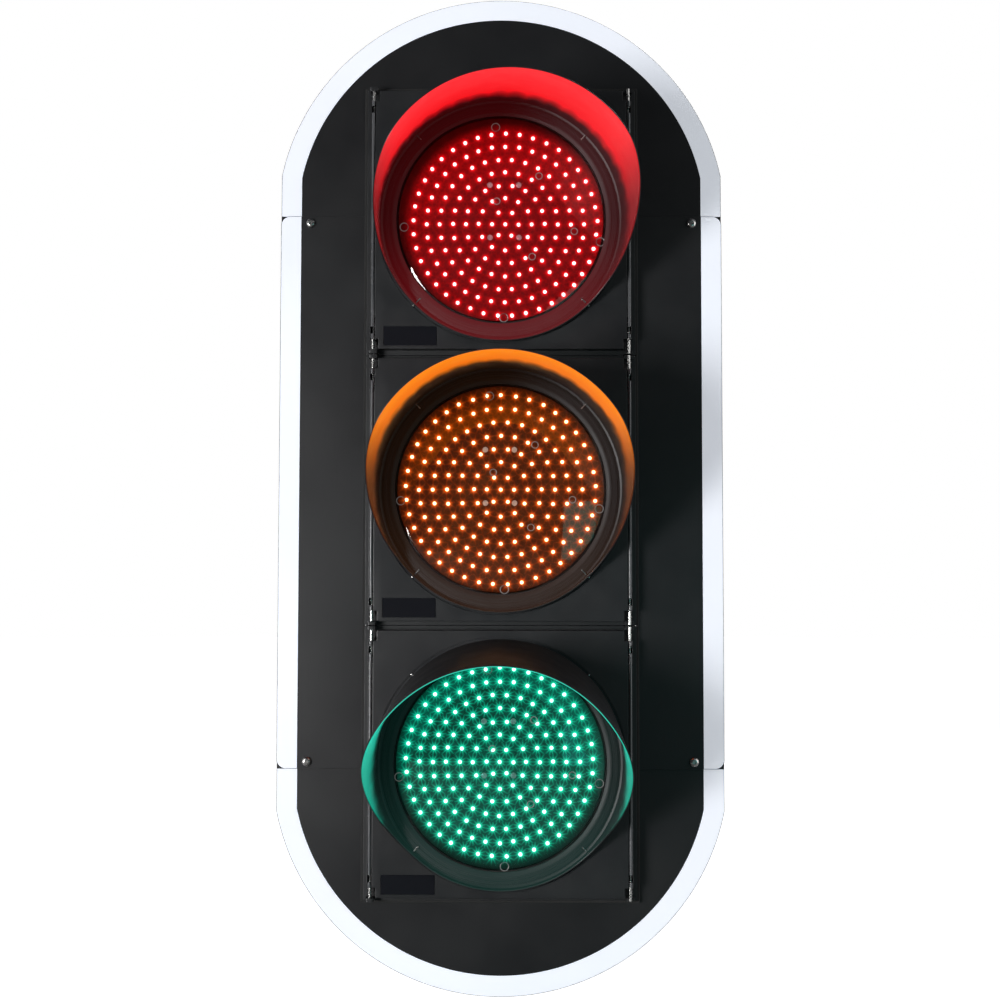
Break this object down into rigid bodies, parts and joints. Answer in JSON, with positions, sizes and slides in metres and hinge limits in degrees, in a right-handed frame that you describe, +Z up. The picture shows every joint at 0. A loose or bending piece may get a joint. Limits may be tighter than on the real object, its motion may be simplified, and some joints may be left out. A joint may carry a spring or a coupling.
{
  "type": "traffic signal head",
  "caption": "Vertical traffic signal head with red, amber and green LED lenses, cutaway visors, hinged doors and a pill-shaped black backing board with a white border.",
  "frame": {"origin": "centre of the bottom entry hole, on the underside of the lowest casing", "axes": "+Z up along the stack of casings, the lenses face -Y, +X to the right seen from the front"},
  "size_m": [0.576, 0.3268, 1.296],
  "materials": {
    "casing_plastic": "satin moulded polycarbonate",
    "door_plastic": "satin moulded polycarbonate",
    "visor_plastic": "satin moulded polycarbonate",
    "seal_rubber": "closed-cell foam and solid rubber",
    "lens_green": "tinted clear polycarbonate",
    "lens_amber": "tinted clear polycarbonate",
    "lens_red": "tinted clear polycarbonate",
    "module_plastic": "moulded black plastic",
    "circuit_board": "solder mask",
    "board_sheet": "satin black powder coat on aluminium sheet",
    "white_film": "white retroreflective film",
    "stainless_steel": "plain stainless",
    "zinc_plate": "zinc plate",
    "terminal_plastic": "moulded cream plastic"
  },
  "bodies": {
    "head": {"casing_green": "casing_plastic", "casing_amber": "casing_plastic", "casing_red": "casing_plastic", "board_top": "board_sheet", "border_top": "white_film", "board_bottom": "board_sheet", "border_bottom": "white_film", "board_left": "board_sheet", "border_left": "white_film", "board_arm_top_left": "zinc_plate", "board_screw_top_left": "stainless_steel", "board_arm_bottom_left": "zinc_plate", "board_screw_bottom_left": "stainless_steel", "board_right": "board_sheet", "border_right": "white_film", "board_arm_top_right": "zinc_plate", "board_screw_top_right": "stainless_steel", "board_arm_bottom_right": "zinc_plate", "board_screw_bottom_right": "stainless_steel", "section_coupler_green_amber": "zinc_plate", "coupler_locknut_green_amber_upper": "zinc_plate", "coupler_locknut_green_amber_lower": "zinc_plate", "section_coupler_amber_red": "zinc_plate", "coupler_locknut_amber_red_upper": "zinc_plate", "coupler_locknut_amber_red_lower": "zinc_plate", "entry_cap_top": "casing_plastic", "terminal_block": "terminal_plastic"},
    "door_green": {"door_green": "door_plastic", "door_seal_green": "seal_rubber", "visor_green": "visor_plastic", "lens_green": "lens_green", "lens_gasket_green": "seal_rubber", "module_case_green": "module_plastic", "led_board_green": "circuit_board", "hinge_pin_green_top": "stainless_steel", "hinge_pin_green_bottom": "stainless_steel"},
    "door_amber": {"door_amber": "door_plastic", "door_seal_amber": "seal_rubber", "visor_amber": "visor_plastic", "lens_amber": "lens_amber", "lens_gasket_amber": "seal_rubber", "module_case_amber": "module_plastic", "led_board_amber": "circuit_board", "hinge_pin_amber_top": "stainless_steel", "hinge_pin_amber_bottom": "stainless_steel"},
    "door_red": {"door_red": "door_plastic", "door_seal_red": "seal_rubber", "visor_red": "visor_plastic", "lens_red": "lens_red", "lens_gasket_red": "seal_rubber", "module_case_red": "module_plastic", "led_board_red": "circuit_board", "hinge_pin_red_top": "stainless_steel", "hinge_pin_red_bottom": "stainless_steel"},
    "latch_green_top": {"latch_pin_green_top": "stainless_steel"},
    "latch_green_bottom": {"latch_pin_green_bottom": "stainless_steel"},
    "latch_amber_top": {"latch_pin_amber_top": "stainless_steel"},
    "latch_amber_bottom": {"latch_pin_amber_bottom": "stainless_steel"},
    "latch_red_top": {"latch_pin_red_top": "stainless_steel"},
    "latch_red_bottom": {"latch_pin_red_bottom": "stainless_steel"}
  },
  "joints": [
    {"name": "door_green_hinge", "type": "hinge", "parent": "head", "child": "door_green", "pos_m": [-0.1655, -0.06, 0.17485], "axis": [0, 0, -1], "range_deg": [0, 90]},
    {"name": "latch_green_top_slide", "type": "slide", "parent": "door_green", "child": "latch_green_top", "axis": [0, 0, -1], "range_m": [0, 0.006]},
    {"name": "latch_green_bottom_slide", "type": "slide", "parent": "door_green", "child": "latch_green_bottom", "axis": [0, 0, 1], "range_m": [0, 0.006]},
    {"name": "door_amber_hinge", "type": "hinge", "parent": "head", "child": "door_amber", "pos_m": [-0.1655, -0.06, 0.52485], "axis": [0, 0, -1], "range_deg": [0, 90]},
    {"name": "latch_amber_top_slide", "type": "slide", "parent": "door_amber", "child": "latch_amber_top", "axis": [0, 0, -1], "range_m": [0, 0.006]},
    {"name": "latch_amber_bottom_slide", "type": "slide", "parent": "door_amber", "child": "latch_amber_bottom", "axis": [0, 0, 1], "range_m": [0, 0.006]},
    {"name": "door_red_hinge", "type": "hinge", "parent": "head", "child": "door_red", "pos_m": [-0.1655, -0.06, 0.87485], "axis": [0, 0, -1], "range_deg": [0, 90]},
    {"name": "latch_red_top_slide", "type": "slide", "parent": "door_red", "child": "latch_red_top", "axis": [0, 0, -1], "range_m": [0, 0.006]},
    {"name": "latch_red_bottom_slide", "type": "slide", "parent": "door_red", "child": "latch_red_bottom", "axis": [0, 0, 1], "range_m": [0, 0.006]}
  ]
}
